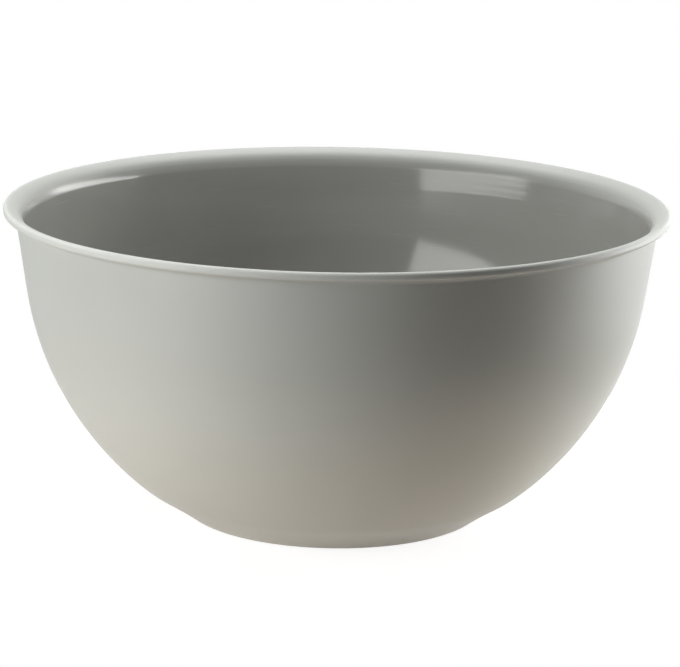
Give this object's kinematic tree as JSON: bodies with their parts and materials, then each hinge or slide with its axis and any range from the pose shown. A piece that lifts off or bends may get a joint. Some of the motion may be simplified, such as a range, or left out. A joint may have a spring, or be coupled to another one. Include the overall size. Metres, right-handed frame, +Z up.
{
  "type": "mixing bowl",
  "caption": "Round plastic mixing bowl with a flared lip, a deep rounded belly, a low foot and a soft non-slip ring in the foot.",
  "frame": {"origin": "centre of the footprint, on the surface that the bowl stands on", "axes": "+Z up along the axis of the bowl; +X and +Y are any two square directions, because the bowl is round"},
  "size_m": [0.25, 0.25, 0.1186],
  "materials": {
    "bowl_plastic": "light warm-grey moulded plastic, satin outside and glossy inside",
    "soft_ring": "dark grey soft rubber-like plastic, dull"
  },
  "bodies": {
    "root": {"bowl": "bowl_plastic", "non_slip_ring": "soft_ring"}
  },
  "joints": []
}
